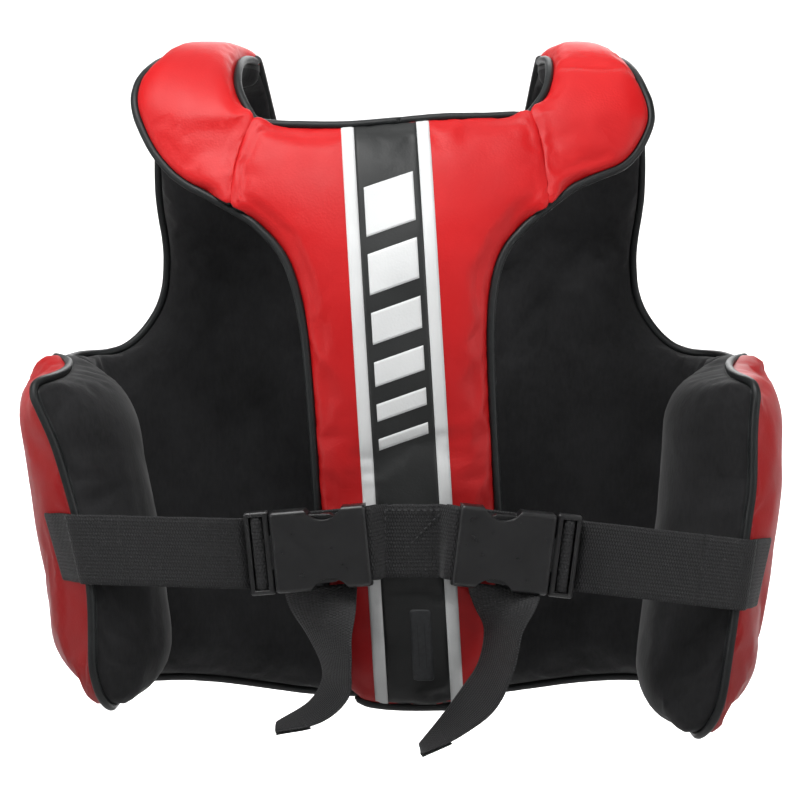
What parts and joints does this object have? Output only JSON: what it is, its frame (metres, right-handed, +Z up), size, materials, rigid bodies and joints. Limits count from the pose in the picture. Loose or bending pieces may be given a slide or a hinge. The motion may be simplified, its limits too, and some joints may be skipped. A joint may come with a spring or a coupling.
{
  "type": "padded body protector",
  "caption": "Padded torso protector with a narrow back panel, shoulder yokes, a thick front panel, hinged side wings, piping and webbing straps closed by side-release buckles.",
  "frame": {"origin": "midway between the undersides of the two shoulder pads, at the top of the shoulder arcs", "axes": "+Z up, the wearer faces +Y, +X to the wearer's right, so azimuth 0 sees the back"},
  "size_m": [0.56, 0.3332, 0.509],
  "materials": {
    "red_leather": "satin",
    "charcoal_leather": "satin",
    "white_leather": "satin",
    "black_lining": "matte",
    "foam": "matte",
    "black_piping": "satin",
    "black_webbing": "matte",
    "buckle_plastic": "satin",
    "badge_rubber": "matte"
  },
  "bodies": {
    "vest": {"anchor_webbing": "black_webbing", "armhole_piping_left": "black_piping", "armhole_piping_right": "black_piping", "back_badge": "badge_rubber", "back_band": "charcoal_leather", "back_cover": "red_leather", "back_foam": "foam", "back_hem_piping": "black_piping", "back_lining": "black_lining", "back_stripe_left": "white_leather", "back_stripe_right": "white_leather", "buckle_left_socket": "buckle_plastic", "buckle_right_socket": "buckle_plastic", "front_band": "charcoal_leather", "front_cover": "red_leather", "front_foam": "foam", "front_hem_piping": "black_piping", "front_lining": "black_lining", "front_stripe_left": "white_leather", "front_stripe_right": "white_leather", "neck_piping": "black_piping", "shoulder_left_cover": "red_leather", "shoulder_left_foam": "foam", "shoulder_left_lining": "black_lining", "shoulder_right_cover": "red_leather", "shoulder_right_foam": "foam", "shoulder_right_lining": "black_lining"},
    "arm_left_lower": {"buckle_left_arm_lower": "buckle_plastic"},
    "arm_left_upper": {"buckle_left_arm_upper": "buckle_plastic"},
    "plug_left": {"buckle_left_plug": "buckle_plastic", "strap_left_return": "black_webbing"},
    "arm_right_lower": {"buckle_right_arm_lower": "buckle_plastic"},
    "arm_right_upper": {"buckle_right_arm_upper": "buckle_plastic"},
    "plug_right": {"buckle_right_plug": "buckle_plastic", "strap_right_return": "black_webbing"},
    "wing_left": {"strap_left": "black_webbing", "wing_left_cover": "red_leather", "wing_left_foam": "foam", "wing_left_lining": "black_lining", "wing_piping_left": "black_piping"},
    "wing_right": {"strap_right": "black_webbing", "wing_piping_right": "black_piping", "wing_right_cover": "red_leather", "wing_right_foam": "foam", "wing_right_lining": "black_lining"},
    "tail_left": {"tail_left": "black_webbing"},
    "tail_right": {"tail_right": "black_webbing"}
  },
  "joints": [
    {"name": "wing_left_flex", "type": "hinge", "parent": "vest", "child": "wing_left", "pos_m": [-0.2347, 0.045, -0.33], "axis": [0.1416, 0, -0.9899], "range_deg": [-10, 14], "stiffness_Nm_per_rad": 3, "deforming": ["strap_left"]},
    {"name": "buckle_left_release", "type": "slide", "parent": "vest", "child": "plug_left", "axis": [-0.9907, 0.1045, -0.0867], "range_m": [0, 0.055]},
    {"name": "buckle_left_press_upper", "type": "hinge", "parent": "plug_left", "child": "arm_left_upper", "pos_m": [-0.08182, -0.13492, -0.32028], "axis": [0.0944, 0.9891, 0.1132], "range_deg": [0, 9], "stiffness_Nm_per_rad": 0.4},
    {"name": "buckle_left_press_lower", "type": "hinge", "parent": "plug_left", "child": "arm_left_lower", "pos_m": [-0.07899, -0.1319, -0.34899], "axis": [-0.0944, -0.9891, -0.1132], "range_deg": [0, 9], "stiffness_Nm_per_rad": 0.4},
    {"name": "tail_left_swing", "type": "hinge", "parent": "plug_left", "child": "tail_left", "pos_m": [-0.055, -0.13116, -0.3565], "axis": [-1, 0, 0], "range_deg": [0, 40]},
    {"name": "wing_right_flex", "type": "hinge", "parent": "vest", "child": "wing_right", "pos_m": [0.2347, 0.045, -0.33], "axis": [0.1416, 0, 0.9899], "range_deg": [-10, 14], "stiffness_Nm_per_rad": 3, "deforming": ["strap_right"]},
    {"name": "buckle_right_release", "type": "slide", "parent": "vest", "child": "plug_right", "axis": [0.9881, 0.1045, -0.1126], "range_m": [0, 0.055]},
    {"name": "buckle_right_press_upper", "type": "hinge", "parent": "plug_right", "child": "arm_right_upper", "pos_m": [0.09925, -0.13492, -0.32171], "axis": [0.0915, -0.9891, -0.1156], "range_deg": [0, 9], "stiffness_Nm_per_rad": 0.4},
    {"name": "buckle_right_press_lower", "type": "hinge", "parent": "plug_right", "child": "arm_right_lower", "pos_m": [0.09567, -0.1319, -0.35033], "axis": [-0.0915, 0.9891, 0.1156], "range_deg": [0, 9], "stiffness_Nm_per_rad": 0.4},
    {"name": "tail_right_swing", "type": "hinge", "parent": "plug_right", "child": "tail_right", "pos_m": [0.072, -0.13703, -0.3565], "axis": [-1, 0, 0], "range_deg": [0, 40]}
  ],
  "couplings": [
    {"joint": "buckle_left_press_lower", "follows": "buckle_left_press_upper", "ratio": 1},
    {"joint": "buckle_right_press_lower", "follows": "buckle_right_press_upper", "ratio": 1}
  ]
}
